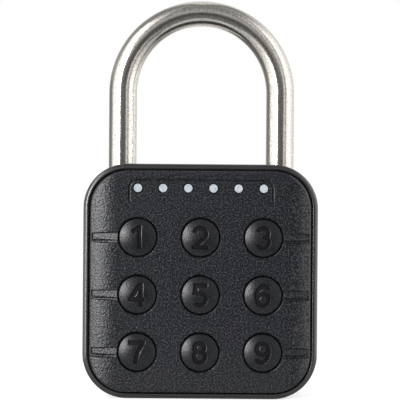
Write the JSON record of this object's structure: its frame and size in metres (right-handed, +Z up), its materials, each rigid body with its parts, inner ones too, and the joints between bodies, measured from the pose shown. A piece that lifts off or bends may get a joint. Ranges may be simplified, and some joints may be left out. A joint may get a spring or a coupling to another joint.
{
  "type": "digital combination padlock",
  "caption": "Square padlock with domed number keys, a row of lamp windows and a lifting steel shackle over a geared motor latch.",
  "frame": {"origin": "middle of the underside, half way between the key crowns and the casing's back", "axes": "+X to the right of the face, +Z up towards the shackle's crown, keys face -Y"},
  "size_m": [0.055, 0.023, 0.0943],
  "materials": {
    "casing_paint": "satin black powder paint",
    "cover_plastic": "fine pebbled black",
    "key_plastic": "satin black",
    "lamp_clear": "milky light guide",
    "shackle_nickel": "drawn bar with a bright nickel plate",
    "steel": "zinc plated",
    "spring_steel": "drawn wire",
    "cast_metal": "die cast grey",
    "brass": "machined",
    "rubber": "matt",
    "silicone": "translucent grey",
    "board_green": "solder mask",
    "component_black": "moulded",
    "led_white": "clear resin",
    "cell_foil": "foil pouch",
    "foam": "foam tape",
    "lead_red": "wire insulation"
  },
  "bodies": {
    "padlock_body": {"outer_casing": "casing_paint", "front_cover": "cover_plastic", "cover_seal": "rubber", "cover_screw": "steel", "key_mat": "silicone", "circuit_board": "board_green", "board_screws": "steel", "light_guide": "lamp_clear", "indicator_leds": "led_white", "controller_chip": "component_black", "buzzer": "component_black", "charging_socket": "steel", "battery_cell": "cell_foil", "battery_pad": "foam", "battery_leads": "lead_red", "motor_leads": "lead_red", "lock_chassis": "cast_metal", "latch_cover": "steel", "latch_cover_screws": "steel", "drive_motor": "steel", "gearbox": "component_black", "motor_clamp": "steel", "clamp_screws": "steel", "shackle_spring": "spring_steel", "shackle_retainer": "steel", "leg_seals": "rubber"},
    "shackle": {"shackle": "shackle_nickel"},
    "key_1": {"key_1": "key_plastic"},
    "key_2": {"key_2": "key_plastic"},
    "key_3": {"key_3": "key_plastic"},
    "key_4": {"key_4": "key_plastic"},
    "key_5": {"key_5": "key_plastic"},
    "key_6": {"key_6": "key_plastic"},
    "key_7": {"key_7": "key_plastic"},
    "key_8": {"key_8": "key_plastic"},
    "key_9": {"key_9": "key_plastic"},
    "latch_drive": {"output_shaft": "steel", "latch_pinion": "brass"},
    "latch_bolt_left": {"latch_bolt_left": "steel"},
    "latch_bolt_right": {"latch_bolt_right": "steel"},
    "port_cover": {"port_cover": "rubber"}
  },
  "joints": [
    {"name": "shackle_lift", "type": "slide", "parent": "padlock_body", "child": "shackle", "axis": [0, 0, 1], "range_m": [0, 0.015], "deforming": ["shackle_spring"]},
    {"name": "key_1_press", "type": "slide", "parent": "padlock_body", "child": "key_1", "axis": [0, 1, 0], "range_m": [0, 0.0008], "stiffness_N_per_m": 1500, "deforming": ["key_mat"]},
    {"name": "key_2_press", "type": "slide", "parent": "padlock_body", "child": "key_2", "axis": [0, 1, 0], "range_m": [0, 0.0008], "stiffness_N_per_m": 1500, "deforming": ["key_mat"]},
    {"name": "key_3_press", "type": "slide", "parent": "padlock_body", "child": "key_3", "axis": [0, 1, 0], "range_m": [0, 0.0008], "stiffness_N_per_m": 1500, "deforming": ["key_mat"]},
    {"name": "key_4_press", "type": "slide", "parent": "padlock_body", "child": "key_4", "axis": [0, 1, 0], "range_m": [0, 0.0008], "stiffness_N_per_m": 1500, "deforming": ["key_mat"]},
    {"name": "key_5_press", "type": "slide", "parent": "padlock_body", "child": "key_5", "axis": [0, 1, 0], "range_m": [0, 0.0008], "stiffness_N_per_m": 1500, "deforming": ["key_mat"]},
    {"name": "key_6_press", "type": "slide", "parent": "padlock_body", "child": "key_6", "axis": [0, 1, 0], "range_m": [0, 0.0008], "stiffness_N_per_m": 1500, "deforming": ["key_mat"]},
    {"name": "key_7_press", "type": "slide", "parent": "padlock_body", "child": "key_7", "axis": [0, 1, 0], "range_m": [0, 0.0008], "stiffness_N_per_m": 1500, "deforming": ["key_mat"]},
    {"name": "key_8_press", "type": "slide", "parent": "padlock_body", "child": "key_8", "axis": [0, 1, 0], "range_m": [0, 0.0008], "stiffness_N_per_m": 1500, "deforming": ["key_mat"]},
    {"name": "key_9_press", "type": "slide", "parent": "padlock_body", "child": "key_9", "axis": [0, 1, 0], "range_m": [0, 0.0008], "stiffness_N_per_m": 1500, "deforming": ["key_mat"]},
    {"name": "pinion_turn", "type": "hinge", "parent": "padlock_body", "child": "latch_drive", "pos_m": [0, 0.0011, 0.0461], "axis": [0, 0, -1], "range_deg": [0, 45.4]},
    {"name": "bolt_left_slide", "type": "slide", "parent": "padlock_body", "child": "latch_bolt_left", "axis": [-1, 0, 0], "range_m": [0, 0.0019]},
    {"name": "bolt_right_slide", "type": "slide", "parent": "padlock_body", "child": "latch_bolt_right", "axis": [1, 0, 0], "range_m": [0, 0.0019]},
    {"name": "port_cover_pull", "type": "slide", "parent": "padlock_body", "child": "port_cover", "axis": [0, 0, -1], "range_m": [0, 0.006]}
  ],
  "couplings": [
    {"joint": "pinion_turn", "follows": "bolt_left_slide", "rad_per_m": 416.67},
    {"joint": "bolt_right_slide", "follows": "bolt_left_slide", "ratio": 1}
  ]
}
